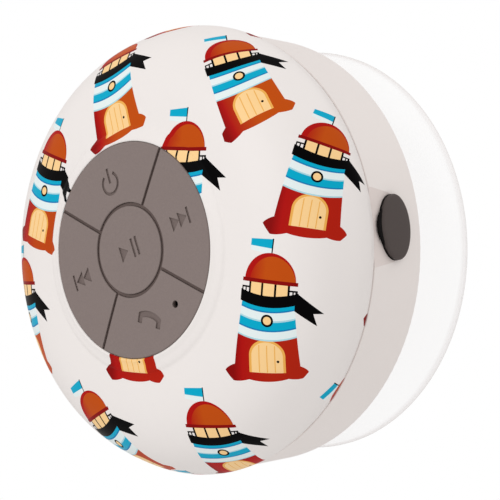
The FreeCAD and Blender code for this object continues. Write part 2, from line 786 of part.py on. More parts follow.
def charging_board():
    board = block(14.0, 7.9, CHARGER_BACK_DEPTH + CONTACT_GAP, CHARGER_FRONT_DEPTH, 0, 34.85)
    board = at_port(board)
    for x, z in charger_posts():
        board = board.cut(disc(CHARGER_SCREW_RADIUS + 0.1, 20, 24, x, z))
    return board


def charging_board_screws():
    shapes = []
    one = screw(0, CHARGER_FRONT_DEPTH + CONTACT_GAP, FLOOR_DEPTH + 0.4, CHARGER_SCREW_RADIUS, False)
    for x, z in charger_posts():
        placed = one.copy()
        placed.translate(V(x, 0, z))
        shapes.append(placed)
    return group(shapes)


def usb_connector():
    """The charging socket's metal shell."""
    back = CHARGER_FRONT_DEPTH + CONTACT_GAP
    shell = Part.makeBox(7.5, 2.5, 5.4, V(-3.75, -back - 2.5, 34.8))
    inside = Part.makeBox(6.9, 1.9, 5.0, V(-3.45, -back - 2.2, 35.3))
    return at_port(shell.cut(inside))


def usb_tongue():
    middle = CHARGER_FRONT_DEPTH + CONTACT_GAP + 1.25
    return at_port(Part.makeBox(5.4, 0.6, 4.2, V(-2.7, -middle - 0.3, 35.32)))


def charging_leads():
    shapes = []
    socket = BOARD_BACK_DEPTH - CONTACT_GAP - SOCKET_HEIGHT
    for side in (-1, 1):
        points = [
            (side, CHARGER_FRONT_DEPTH + 0.5, 31.6),
            (side, 26.0, 30.4),
            (side, 33.0, 28.6),
            (side, socket - 2.0, LEAD_RING + 0.3),
            (side, socket - 0.05, LEAD_RING),
        ]
        shapes.append(at_port(wire(points, 0.42)))
    return group(shapes)


# Speaker driver

def speaker_basket():
    """Pressed frame: flange, conical wall with four windows, spider step and magnet ring."""
    step_depth = SPIDER_DEPTH + 0.35
    outline = [
        (FLANGE_RADIUS, FLANGE_DEPTH), (FLANGE_RADIUS, FLANGE_FRONT_DEPTH),
        (17.9, FLANGE_FRONT_DEPTH), (14.4, 28.3), (14.4, 30.3), (7.6, 30.3), (7.6, 29.5),
        (12.3, 29.5), (12.3, step_depth), (13.5, step_depth), (16.8, 22.9),
        (16.8, FLANGE_DEPTH),
    ]
    basket = spin(outline)
    ear = disc(EAR_RADIUS, FLANGE_DEPTH, FLANGE_FRONT_DEPTH, 0, SPEAKER_SCREW_RING)
    hole_radius = SMALL_SCREW_RADIUS + 0.1
    hole = disc(hole_radius, FLANGE_DEPTH, FLANGE_FRONT_DEPTH, 0, SPEAKER_SCREW_RING)
    for clock in DIAGONALS:
        basket = basket.fuse(at_clock(ear, clock)).cut(at_clock(hole, clock))
    window = block(13.0, 10, 23.9, 26.9, 0, 17.0)
    for step in range(4):
        basket = basket.cut(at_clock(window, 90 * step))
    return basket.removeSplitter()


def speaker_cone():
    return spin([(6.5, 26.9), (6.5, 26.4), (14.2, 22.45), (14.2, 22.95)])


def speaker_surround():
    """Half-round roll from the cone's edge to the flange, with a flat rim under the gasket."""
    inner, outer, rim, thickness = 14.3, 16.9, 18.3, 0.35
    level = FLANGE_DEPTH - 0.05
    lap = level + 0.9
    middle = (inner + outer) / 2
    crest = level - (outer - inner) * 0.4
    over = Part.Arc(
        V(inner, -level, 0), V(middle, -crest, 0), V(outer, -(level - thickness), 0)
    )
    under = Part.Arc(
        V(inner + thickness, -level, 0),
        V(middle, -(crest + thickness), 0),
        V(outer - thickness, -level, 0),
    )
    return spin_edges([
        line((inner, lap), (inner, level)),
        over.toShape(),
        line((outer, level - thickness), (rim, level - thickness)),
        line((rim, level - thickness), (rim, level)),
        line((rim, level), (outer - thickness, level)),
        under.toShape(),
        line((inner + thickness, level), (inner + thickness, lap)),
        line((inner + thickness, lap), (inner, lap)),
    ])


def speaker_dust_cap():
    """Thin domed cap over the coil."""
    radius, rise, thickness = 6.3, 1.6, 0.3
    edge = 25.85
    bend = (radius ** 2 + rise ** 2) / (2 * rise)
    centre_depth = edge - rise + bend
    outer = Part.makeSphere(bend, V(0, -centre_depth, 0))
    inner = Part.makeSphere(bend - thickness, V(0, -centre_depth, 0))
    return outer.cut(inner).common(disc(radius, edge - rise - 1, edge))


def voice_coil():
    former = ring(COIL_INSIDE + 0.12, COIL_INSIDE, 25.9, COIL_FRONT_DEPTH)
    winding = ring(COIL_INSIDE + 0.5, COIL_INSIDE + 0.05, 30.2, COIL_FRONT_DEPTH)
    return former.fuse(winding).removeSplitter()


def speaker_spider():
    """Corrugated centring disc between the coil and the basket's step."""
    crests = 5
    start, end = 6.52, 13.3
    level, wave, thickness = SPIDER_DEPTH, 0.28, 0.2
    step = (end - start) / (2 * crests)
    top = [(start + step * i, level + wave * (-1) ** i) for i in range(2 * crests + 1)]
    bottom = [(radius, depth - thickness) for radius, depth in reversed(top)]
    return spin(top + bottom)


def speaker_yoke():
    return disc(11.0, YOKE_RIM_DEPTH, YOKE_FRONT_DEPTH).cut(disc(7.3, YOKE_RIM_DEPTH, 35.3))


def speaker_magnet():
    return disc(6.0, 32.02, 35.28)


def speaker_top_plate():
    return disc(6.1, 30.4, 32.0)


def speaker_gasket():
    back = FLOOR_DEPTH + SEAT_HEIGHT + CONTACT_GAP
    return ring(FLANGE_RADIUS, SEAT_INSIDE, back, FLANGE_DEPTH - CONTACT_GAP)


def speaker_screws():
    seat = FLANGE_FRONT_DEPTH + CONTACT_GAP
    return group(at_diagonals(screw(SPEAKER_SCREW_RING, seat, 19.6, SMALL_SCREW_RADIUS, False)))


def speaker_leads():
    shapes = []
    socket = BOARD_BACK_DEPTH - CONTACT_GAP - SOCKET_HEIGHT
    for side in (-1, 1):
        points = [
            (side, 23.7, 18.9),
            (side, 26.5, 20.6),
            (side, 33.0, 23.6),
            (side, socket - 2.0, LEAD_RING - 0.2),
            (side, socket - 0.05, LEAD_RING),
        ]
        shapes.append(at_clock(wire(points, 0.42), SPEAKER_LEAD_CLOCK))
    return group(shapes)


# Suction cup

def suction_cup():
    """Soft cup: a thin beaded rim, a flaring wall and a solid hub that holds the stud."""
    front_face = Part.BSplineCurve()
    front_face.interpolate([
        V(CUP_RADIUS - 0.5, -1.3, 0), V(36.5, -2.9, 0), V(31.0, -5.6, 0),
        V(23.0, -8.9, 0), V(15.0, -11.6, 0), V(HUB_RADIUS, -14.2, 0),
    ])
    wall_face = Part.BSplineCurve()
    wall_face.interpolate([
        V(CUP_RADIUS - 1.3, 0, 0), V(35.5, -1.7, 0), V(29.0, -4.3, 0),
        V(20.0, -7.1, 0), V(10.0, -9.0, 0), V(0, -9.6, 0),
    ])
    bead = Part.Arc(
        V(CUP_RADIUS, 0, 0), V(CUP_RADIUS + 0.05, -0.7, 0), V(CUP_RADIUS - 0.5, -1.3, 0)
    )
    edges = [
        bead.toShape(),
        front_face.toShape(),
        line((HUB_RADIUS, 14.2), (HUB_RADIUS, HUB_DEPTH)),
        line((HUB_RADIUS, HUB_DEPTH), (0, HUB_DEPTH)),
        line((0, HUB_DEPTH), (0, 9.6)),
        wall_face.toShape(),
        line((CUP_RADIUS - 1.3, 0), (CUP_RADIUS, 0)),
    ]
    cup = spin_edges(edges)
    return cup.cut(stud_form(0.03))


def stud_form(gap):
    """The stud's outline, grown by a gap."""
    return spin([
        (0, 12.4 - gap), (STUD_BASE_RADIUS + gap, 12.4 - gap),
        (STUD_BASE_RADIUS + gap, 13.9 + gap), (STUD_NECK_RADIUS + gap, 13.9 + gap),
        (STUD_NECK_RADIUS + gap, 18.65), (STUD_HEAD_RADIUS, 18.65), (STUD_HEAD_RADIUS, 19.6),
        (5.2, 20.9), (0, 20.9),
    ])


def cup_stud():
    return stud_form(0)


# Every outer key is cut from the same crowned disc
BLANKS = key_blanks()

NODES = {
    "front_shell": front_shell,
    "rear_housing": rear_housing,
    "shell_gasket": shell_gasket,
    "keypad_mat": keypad_mat,
    "power_key": power_key,
    "next_key": next_key,
    "call_key": call_key,
    "previous_key": previous_key,
    "play_pause_key": play_pause_key,
    "power_switch_plunger": lambda: plunger(0),
    "next_switch_plunger": lambda: plunger(90),
    "call_switch_plunger": lambda: plunger(180),
    "previous_switch_plunger": lambda: plunger(270),
    "play_pause_switch_plunger": lambda: plunger(None),
    "port_plug": port_plug,
    "plug_tether": plug_tether,
    "suction_cup": suction_cup,
    "cup_stud": cup_stud,
    "case_screws": case_screws,
    "screw_plugs": screw_plugs,
    "splash_membrane": splash_membrane,
    "main_board": main_board,
    "board_screws": board_screws,
    "tact_switches": tact_switches,
    "microphone": microphone,
    "microphone_boot": microphone_boot,
    "status_led": status_led,
    "audio_processor": audio_processor,
    "amplifier_chip": amplifier_chip,
    "board_components": board_components,
    "lead_connectors": lead_connectors,
    "battery_cell": battery_cell,
    "battery_tape": battery_tape,
    "battery_leads": battery_leads,
    "charging_board": charging_board,
    "charging_board_screws": charging_board_screws,
    "usb_connector": usb_connector,
    "usb_tongue": usb_tongue,
    "charging_leads": charging_leads,
    "speaker_basket": speaker_basket,
    "speaker_cone": speaker_cone,
    "speaker_surround": speaker_surround,
    "speaker_dust_cap": speaker_dust_cap,
    "voice_coil": voice_coil,
    "speaker_spider": speaker_spider,
    "speaker_yoke": speaker_yoke,
    "speaker_magnet": speaker_magnet,
    "speaker_top_plate": speaker_top_plate,
    "speaker_gasket": speaker_gasket,
    "speaker_screws": speaker_screws,
    "speaker_leads": speaker_leads,
}

os.makedirs("parts", exist_ok=True)
for name, make in NODES.items():
    shape = make()
    if not shape.isValid() or not shape.Solids:
        print("not a valid solid:", name)
    shape.exportStep("parts/" + name + ".step")
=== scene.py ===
import functools
import json
import math

import bmesh
import bpy
import numpy as np
from mathutils import Matrix, Vector


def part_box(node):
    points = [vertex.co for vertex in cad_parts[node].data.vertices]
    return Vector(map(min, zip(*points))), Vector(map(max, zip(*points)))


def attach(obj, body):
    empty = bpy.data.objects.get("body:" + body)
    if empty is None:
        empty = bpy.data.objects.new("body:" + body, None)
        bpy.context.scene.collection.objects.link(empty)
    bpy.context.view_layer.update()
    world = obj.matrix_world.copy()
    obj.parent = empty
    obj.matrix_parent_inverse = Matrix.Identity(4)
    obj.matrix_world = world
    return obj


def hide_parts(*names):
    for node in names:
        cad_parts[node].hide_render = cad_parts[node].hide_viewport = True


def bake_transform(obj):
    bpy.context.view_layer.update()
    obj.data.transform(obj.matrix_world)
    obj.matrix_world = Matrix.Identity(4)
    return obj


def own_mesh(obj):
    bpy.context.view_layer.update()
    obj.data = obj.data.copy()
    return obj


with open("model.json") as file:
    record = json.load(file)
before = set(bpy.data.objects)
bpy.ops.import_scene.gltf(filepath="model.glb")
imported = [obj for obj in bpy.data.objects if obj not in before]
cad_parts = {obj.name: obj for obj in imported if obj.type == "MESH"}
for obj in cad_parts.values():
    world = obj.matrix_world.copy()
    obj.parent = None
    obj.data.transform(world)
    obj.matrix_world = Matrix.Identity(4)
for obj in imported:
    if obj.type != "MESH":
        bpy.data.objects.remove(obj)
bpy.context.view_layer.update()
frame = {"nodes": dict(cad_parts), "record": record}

# Lengths in this script are in millimetres, and MM turns them into Blender's metres.
# "Depth" is the distance in front of the wall, so a point at depth d has y = -d.
# "Clock" is an angle in degrees from 12 o'clock, clockwise as seen from the front.
MM = 0.001


def span(node):
    """A CAD node's largest radius and its depths at the back and the front."""
    low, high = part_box(node)
    return (high.x - low.x) / 2 / MM, -high.y / MM, -low.y / MM


BODY_RADIUS, _, COLLAR_DEPTH = span("front_shell")
CUP_RADIUS, _, HUB_DEPTH = span("suction_cup")
PARTING_DEPTH = 30.55       # where the two shells meet
WALL = 1.8                  # the front shell's thickness

# The keypad's face is a shallow crown.
KEYPAD_RADIUS = 20.24
KEYPAD_EDGE_DEPTH = 50.45
KEYPAD_CROWN = 0.45

# The charging port and its plug. Heights are distances from the body's axis.
PORT_CLOCK = 107.3
PLUG_DEPTH = 24.35
PLUG_HALF_LENGTH = 6.05
PLUG_HALF_WIDTH = 4.0
PLUG_FACE = 42.75           # height of the plug's face
CAP_LOW = 41.6              # height of the underside of the plug's cap
TAB_TOP = 42.4              # height of the pull tab's face
INSERT_LOW = 40.3           # height of the end of the insert in the port
TETHER_DEPTH = 21.6
# Painted shade on the flat by the plug comes in over these depths.
FLAT_SHADE_START, FLAT_SHADE_FULL = 22.0, 24.5      # depths over which the flat's darker tone comes in

# Shading is smooth across creases below these angles, in degrees.
SMOOTH_ANGLE = 32
PLUG_SMOOTH_ANGLE = 50
SHARP_ANGLES = {"rear_housing": 6}


# ---------------------------------------------------------------- shader helpers

# Where a mix node keeps its two inputs and its output for each kind of data.
MIX_SOCKETS = {"VECTOR": (4, 5, 1), "RGBA": (6, 7, 2)}


class Shader:
    """A material's node tree, with short calls for the nodes that the materials share."""

    def __init__(self, name):
        self.material = bpy.data.materials.new(name)
        self.material.use_nodes = True
        self.tree = self.material.node_tree
        self.surface = self.tree.nodes["Principled BSDF"]
        own = self.node("ShaderNodeTexCoord")
        self.place, self.facing = own.outputs["Object"], own.outputs["Normal"]

    def node(self, kind, **settings):
        made = self.tree.nodes.new(kind)
        for key, value in settings.items():
            setattr(made, key, value)
        return made

    def plug(self, socket, value):
        """Links a socket to another node's output, or sets its value."""
        if isinstance(value, bpy.types.NodeSocket):
            self.tree.links.new(value, socket)
        elif isinstance(value, (tuple, list)) and len(value) == 3 and socket.type == "RGBA":
            socket.default_value = (*value, 1.0)
        else:
            socket.default_value = value

    def set(self, **values):
        """Sets the surface's inputs by name, with _ for a space."""
        for key, value in values.items():
            self.plug(self.surface.inputs[key.replace("_", " ")], value)

    def math(self, operation, *values):
        made = self.node("ShaderNodeMath", operation=operation)
        for socket, value in zip(made.inputs, values):
            self.plug(socket, value)
        return made.outputs[0]

    def vector(self, operation, *values):
        made = self.node("ShaderNodeVectorMath", operation=operation)
        for socket, value in zip(made.inputs, values):
            self.plug(socket, value)
        return made.outputs["Value" if operation in ("LENGTH", "DOT_PRODUCT") else 0]

    def squares(self, first, second):
        """The sum of two values' squares."""
        return self.math(
            "ADD", self.math("MULTIPLY", first, first), self.math("MULTIPLY", second, second)
        )

    def split(self, vector):
        made = self.node("ShaderNodeSeparateXYZ")
        self.plug(made.inputs[0], vector)
        return made.outputs

    def mix(self, share, first, second, kind="RGBA"):
        """Colour, or another kind of data, between first and second."""
        made = self.node("ShaderNodeMix", data_type=kind)
        first_input, second_input, output = MIX_SOCKETS[kind]
        self.plug(made.inputs[0], share)
        self.plug(made.inputs[first_input], first)
        self.plug(made.inputs[second_input], second)
        return made.outputs[output]

    def spread(self, value, low, high, new_low, new_high):
        """Carries a value from one range over to another, and stops at the ends."""
        made = self.node("ShaderNodeMapRange")
        for socket, given in zip(made.inputs, (value, low, high, new_low, new_high)):
            self.plug(socket, given)
        return made.outputs[0]

    def noise(self, size, detail=3.0):
        """Noise from 0 to 1 whose features are about this many millimetres across."""
        made = self.node("ShaderNodeTexNoise")
        self.plug(made.inputs["Vector"], self.place)
        made.inputs["Scale"].default_value = 1 / (size * MM)
        made.inputs["Detail"].default_value = detail
        return made.outputs[0]

    def bump(self, height, depth):
        """A bumped normal. Height runs from 0 to 1, and depth is in millimetres."""
        made = self.node("ShaderNodeBump")
        made.inputs["Distance"].default_value = depth * MM
        self.plug(made.inputs["Height"], height)
        return made.outputs[0]


def srgb(*values):
    """Linear colour from display values of 0 to 255."""
    shares = [value / 255 for value in values]
    return tuple(s / 12.92 if s < 0.04045 else ((s + 0.055) / 1.055) ** 2.4 for s in shares)


def moulded(name, colour, roughness, grain=0.6, depth=0.01, tone=0.03, **extra):
    """Moulded plastic, rubber or metal: slight mottling in tone and gloss, and a fine grain."""
    shader = Shader(name)
    cloud = shader.noise(14.0, 4.0)
    fine = shader.noise(grain, 5.0)
    darker = tuple(c * (1 - tone) for c in colour)
    lighter = tuple(min(1.0, c * (1 + tone)) for c in colour)
    shader.set(
        Base_Color=shader.mix(cloud, darker, lighter),
        Roughness=shader.spread(fine, 0.3, 0.7, roughness * 0.92, roughness * 1.08),
        Normal=shader.bump(fine, depth),
        **extra,
    )
    return shader.material


def keypad_silicone():
    """Matt silicone with a fine grain, with painted shade under the crowned face: darker in the
    grooves and icons, near black where it lies deepest.
    """
    shader = Shader("keypad_silicone")
    x, y, z = shader.split(shader.place)
    bend = (KEYPAD_RADIUS ** 2 + KEYPAD_CROWN ** 2) / (2 * KEYPAD_CROWN)
    apex = KEYPAD_EDGE_DEPTH + KEYPAD_CROWN
    # Distance below the crowned face, in millimetres.
    fall = shader.math("MULTIPLY", shader.squares(x, z), 1 / (2 * bend * MM * MM))
    surface = shader.math("SUBTRACT", apex, fall)
    sunk = shader.math("ADD", surface, shader.math("DIVIDE", y, MM))
    # Painted shade: the grooves and icons darken, and the deepest places turn near black.
    below = shader.spread(sunk, 0.12, 0.5, 0.0, 1.0)
    gap_shade = shader.spread(sunk, 0.6, 1.0, 0.0, 1.0)
    fine = shader.noise(0.3, 4.0)
    cloud = shader.noise(9.0, 3.0)
    tone = shader.mix(fine, srgb(123, 111, 108), srgb(141, 129, 125))
    tone = shader.mix(shader.math("MULTIPLY", cloud, 0.3), tone, srgb(127, 115, 112))
    tone = shader.mix(below, tone, srgb(96, 82, 78))
    shader.set(
        Base_Color=shader.mix(gap_shade, tone, srgb(14, 11, 10)),
        Roughness=shader.spread(fine, 0.3, 0.7, 0.6, 0.72),
        Specular_IOR_Level=0.3,
        Normal=shader.bump(fine, 0.015),
    )
    return shader.material


def housing_plastic():
    """Smooth plastic with a faint grain, and painted shade in its corners and on the flat by the
    plug.
    """
    shader = Shader("housing_plastic")
    _, y, _ = shader.split(shader.place)
    depth = shader.math("DIVIDE", y, -MM)
    # Painted shade on the flat by the plug: the flat faces straight out at the port, and the wall
    # beside it has turned away.
    facing = shader.vector("DOT_PRODUCT", shader.facing, tuple(port_frame()[0]))
    flat = shader.math(
        "MULTIPLY",
        shader.spread(facing, 0.99, 0.996, 0.0, 1.0),
        shader.spread(depth, FLAT_SHADE_START, FLAT_SHADE_FULL, 0.0, 1.0),
    )
    # Painted shade in the corners and creases, from ambient occlusion.
    corner = shader.node("ShaderNodeAmbientOcclusion", samples=8)
    corner.inputs["Distance"].default_value = 1.1 * MM
    unshaded_share = shader.spread(corner.outputs["AO"], 0.2, 1.0, 0.0, 1.0)
    cloud = shader.noise(14.0, 4.0)
    fine = shader.noise(0.8, 5.0)
    tone = shader.mix(cloud, srgb(240, 235, 232), srgb(243, 238, 235))
    # Painted shade: a darker tone on the flat.
    tone = shader.mix(flat, tone, srgb(232, 223, 219))
    shader.set(
        Base_Color=shader.mix(unshaded_share, srgb(222, 213, 209), tone),
        Roughness=shader.spread(fine, 0.3, 0.7, 0.38, 0.46),
        Normal=shader.bump(fine, 0.006),
    )
    return shader.material


def paint(node, material):
    """Gives a CAD node its material and smooth shading up to its sharp edges."""
    obj = frame["nodes"][node]
    obj.data.materials.clear()
    obj.data.materials.append(material)
    smooth(obj, SHARP_ANGLES.get(node, SMOOTH_ANGLE))


def smooth(obj, angle=SMOOTH_ANGLE):
    """Smooth shading, with creases sharper than the angle kept."""
    obj.data.shade_smooth()
    obj.data.set_sharp_from_angle(angle=math.radians(angle))


# ---------------------------------------------------------------- mesh helpers

def natural_spline(points, count):
    """Smooth curve through 2D points, as count points from the first to the last."""
    given = np.array(points, float)
    gaps = np.hypot(*np.diff(given, axis=0).T)
    at = np.concatenate([[0], np.cumsum(gaps)])
    size = len(given)
    system = np.eye(size)
    right = np.zeros((size, 2))
    for i in range(1, size - 1):
        system[i, i - 1] = gaps[i - 1]
        system[i, i] = 2 * (gaps[i - 1] + gaps[i])
        system[i, i + 1] = gaps[i]
        slopes = (given[i + 1] - given[i]) / gaps[i] - (given[i] - given[i - 1]) / gaps[i - 1]
        right[i] = 6 * slopes
    bend = np.linalg.solve(system, right)
    curve = []
    for where in np.linspace(0, at[-1], count):
        i = min(int(np.searchsorted(at, where, side="right")) - 1, size - 2)
        gap, left, ahead = gaps[i], at[i + 1] - where, where - at[i]
        curve.append(
            bend[i] * left ** 3 / (6 * gap) + bend[i + 1] * ahead ** 3 / (6 * gap)
            + (given[i] / gap - bend[i] * gap / 6) * left
            + (given[i + 1] / gap - bend[i + 1] * gap / 6) * ahead
        )
    return [tuple(point) for point in curve]


def inset(curve, distance):
    """The curve moved sideways, to the left of its direction."""
    points = np.array(curve)
    along = np.gradient(points, axis=0)
    along /= np.hypot(*along.T)[:, None]
    sideways = np.stack([-along[:, 1], along[:, 0]], axis=1)
    return [tuple(point) for point in points + sideways * distance]


def turns_round(count):
    """Angles in radians for this many points round a circle."""
    return [2 * math.pi * step / count for step in range(count)]


def lathe(name, outline, steps):
    """Closed solid of revolution from (radius, depth) points."""
    rows, places, faces = [], [], []
    for radius, depth in outline:
        count = 1 if radius < 1e-6 else steps
        rows.append(list(range(len(places), len(places) + count)))
        for turn in turns_round(steps)[:count]:
            places.append((radius * math.sin(turn) * MM, -depth * MM, radius * math.cos(turn) * MM))
    for row, following in zip(rows, rows[1:] + rows[:1]):
        for step in range(steps):
            after = (step + 1) % steps
            if len(row) > 1 and len(following) > 1:
                faces.append((row[step], row[after], following[after], following[step]))
            elif len(row) > 1:
                faces.append((row[step], row[after], following[0]))
            elif len(following) > 1:
                faces.append((row[0], following[after], following[step]))
    mesh = bpy.data.meshes.new(name)
    mesh.from_pydata(places, [], faces)
    return finish_mesh(name, mesh)


def add_object(name, data):
    obj = bpy.data.objects.new(name, data)
    bpy.context.scene.collection.objects.link(obj)
    return obj


def finish_mesh(name, mesh):
    """An object of the mesh, with its faces turned outwards."""
    work = bmesh.new()
    work.from_mesh(mesh)
    bmesh.ops.recalc_face_normals(work, faces=work.faces)
    work.to_mesh(mesh)
    work.free()
    obj = add_object(name, mesh)
    smooth(obj)
    return obj


def stand_in(obj, node, material):
    """Puts a finished piece in place of a CAD node."""
    obj.data.materials.append(material)
    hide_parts(node)


# ---------------------------------------------------------------- front shell

DOME_OUTLINE = [
    (BODY_RADIUS - 0.9, PARTING_DEPTH),
    (BODY_RADIUS, 33.0),
    (BODY_RADIUS - 0.9, 37.4),
    (BODY_RADIUS - 3.8, 43.0),
    (BODY_RADIUS - 9.5, 47.3),
    (23.5, 49.28),
]
CREASE_OUTLINE = [(23.3, 49.31), (23.1, 49.4)]
COLLAR_OUTLINE = [(22.9, 49.56), (22.6, 49.72), (21.7, 50.0), (20.75, COLLAR_DEPTH)]
OPENING_RADIUS = 20.31
LEDGE_DEPTH = 48.9
LEDGE_RADIUS = 22.5
SHELL_STEPS = 320           # facets round the shell
INSIDE_REACH = 200.0        # puts the shell's inside off the print's layout


def dome_outline():
    """The front shell's outside, from the parting line to the opening, and its whole outline."""
    outer = natural_spline(DOME_OUTLINE, 64)
    collar = CREASE_OUTLINE + natural_spline(COLLAR_OUTLINE, 12)
    lip = [(20.45, COLLAR_DEPTH - 0.03), (OPENING_RADIUS, COLLAR_DEPTH - 0.15)]
    inner = [point for point in inset(outer, WALL) if point[0] > LEDGE_RADIUS]
    ledge = [
        (OPENING_RADIUS, LEDGE_DEPTH), (LEDGE_RADIUS, LEDGE_DEPTH), (LEDGE_RADIUS, inner[-1][1])
    ]
    outside = outer + collar + lip
    return outside, outside + ledge + inner[::-1]


def front_shell():
    """The printed front shell, which carries the layout of its print as an attribute.

    The print is laid out flat: a point's distance from the middle is its distance along the
    surface, so the layout wraps over the dome without stretching along it.
    """
    outside, outline = dome_outline()
    shell = lathe("front_shell_printed", outline, SHELL_STEPS)
    path = np.array(outside[::-1])
    along = path[0][0] + np.concatenate([[0], np.cumsum(np.hypot(*np.diff(path, axis=0).T))])
    along = along[::-1]
    layout = shell.data.attributes.new("layout", "FLOAT_VECTOR", "POINT")
    for row in range(len(outline)):
        reach = along[row] if row < len(outside) else INSIDE_REACH
        for step, turn in enumerate(turns_round(SHELL_STEPS)):
            where = (reach * math.sin(turn), reach * math.cos(turn), 0.0)
            layout.data[row * SHELL_STEPS + step].vector = where
    stand_in(shell, "front_shell", printed_shell())
    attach(shell, "housing")


# The motifs' places on the flat layout: x and y of the middle in millimetres, clockwise tilt,
# and how much of the red is warmed towards rust.
MOTIFS = [
    (24.3, -23.5, 30, 0.15),
    (43.0, -2.5, 30, 0.1),
    (33.1, 22.0, -12, 0.9),
    (4.6, 32.8, 1, 0.9),
    (16.4, 6.2, 24, 0.6),
    (-19.7, 21.8, 38, 0.7),
    (-4.8, -11.6, 25, 0.1),
    (-37.5, 1.6, 22, 0.8),
    (-25.5, -31.0, 0, 0.5),
    (-0.8, -42.6, 25, 0.0),
    (28.9, -57.0, -5, 0.2),
    (54.0, -33.0, 50, 0.2),
    (15.2, 56.6, -10, 0.9),
    (-33.0, 40.0, 20, 0.4),
    (-17.0, 55.0, -5, 0.6),
    (-52.0, -14.0, 20, 0.3),
    (-45.5, -38.0, 10, 0.8),
    (-22.0, -57.5, 20, 0.2),
    (44.0, 47.0, 12, 0.5),
]
MOTIF_HALF_WIDTH = 11.2     # of the oval that a motif is drawn in
MOTIF_HALF_HEIGHT = 15.0
WARMTH_STEP = 0.01          # scales the warmth to carry it as a motif's third coordinate
BLANK_PLACE = (0.0, 5.0, 0.0)           # a place outside every shape, in half-widths and -heights
STRIPE_SAG = 0.03
STRIPE_EDGE = 0.3           # height of the deeper tone along a stripe's lower edge

SHELL_WHITE = srgb(241, 238, 236)
RED = srgb(176, 20, 18)
DEEP_RED = srgb(138, 12, 12)
RUST = srgb(196, 84, 18)
CYAN = srgb(2, 172, 208)
BLUE = srgb(20, 130, 186)
PALE = srgb(232, 246, 247)
PALE_EDGE = srgb(176, 222, 232)
CREAM = srgb(254, 214, 150)
GOLD = srgb(240, 178, 84)
BLACK = srgb(3, 3, 4)


class Motif:
    """Draws flat shapes over each other in a motif's own plane, x to the right and y up.

    A shape is a value that is above 0 inside it. The place holds x, y and the warmth.
    """

    def __init__(self, shader, place, ground):
        self.shader = shader
        self.colour = ground
        self.x, y, self.warmth = shader.split(place)
        joined = shader.node("ShaderNodeCombineXYZ")
        shader.plug(joined.inputs[0], self.x)
        shader.plug(joined.inputs[1], y)
        joined.inputs[2].default_value = 1.0
        self.point = joined.outputs[0]
        # Level lines sag in the middle, as stripes round a tower do.
        sag = self.math("MULTIPLY", self.math("MULTIPLY", self.x, self.x), STRIPE_SAG)
        self.level = self.math("SUBTRACT", y, sag)

    def math(self, *given):
        return self.shader.math(*given)

    def all_of(self, *shapes):
        """Where the shapes overlap."""
        return functools.reduce(lambda one, other: self.math("MINIMUM", one, other), shapes)

    def any_of(self, *shapes):
        """The shapes joined together."""
        return functools.reduce(lambda one, other: self.math("MAXIMUM", one, other), shapes)

    def ellipse(self, x, y, wide, tall, turn=0.0):
        """An ellipse from its middle, its half-axes and its anticlockwise turn."""
        local = self.shader.node("ShaderNodeMapping", vector_type="TEXTURE")
        self.shader.plug(local.inputs["Vector"], self.point)
        local.inputs["Location"].default_value = (x, y, 1)
        local.inputs["Rotation"].default_value = (0, 0, math.radians(turn))
        local.inputs["Scale"].default_value = (wide, tall, 1)
        return self.math("SUBTRACT", 1.0, self.shader.vector("LENGTH", local.outputs[0]))

    def polygon(self, *corners):
        """A convex polygon from its corners, which go anticlockwise."""
        edges = []
        for (x1, y1), (x2, y2) in zip(corners, corners[1:] + corners[:1]):
            length = math.hypot(x2 - x1, y2 - y1)
            a, b = (y1 - y2) / length, (x2 - x1) / length
            edges.append(self.shader.vector("DOT_PRODUCT", self.point, (a, b, -a * x1 - b * y1)))
        return self.all_of(*edges)

    def bar(self, x, y, half_wide, half_tall):
        """An upright rectangle round its middle."""
        return self.polygon(
            (x - half_wide, y - half_tall), (x + half_wide, y - half_tall),
            (x + half_wide, y + half_tall), (x - half_wide, y + half_tall),
        )

    def strip(self, value, low, high):
        """Where a value is between two bounds."""
        return self.math(
            "MINIMUM", self.math("SUBTRACT", value, low), self.math("SUBTRACT", high, value)
        )

    def fill(self, shape, colour):
        """Paints a shape over what is drawn already."""
        inside = self.math("GREATER_THAN", shape, 0.0)
        self.colour = self.shader.mix(inside, self.colour, colour)


def stripes(draw, shape, top, pitch, count):
    """Sagging stripes from the top down, cyan and pale in turn, each with a deeper lower edge."""
    for step in range(count):
        plain, deep = ((CYAN, BLUE), (PALE, PALE_EDGE))[step % 2]
        high = top - pitch * step
        low = high - pitch
        draw.fill(draw.all_of(shape, draw.strip(draw.level, low, high)), plain)
        draw.fill(draw.all_of(shape, draw.strip(draw.level, low, low + STRIPE_EDGE)), deep)


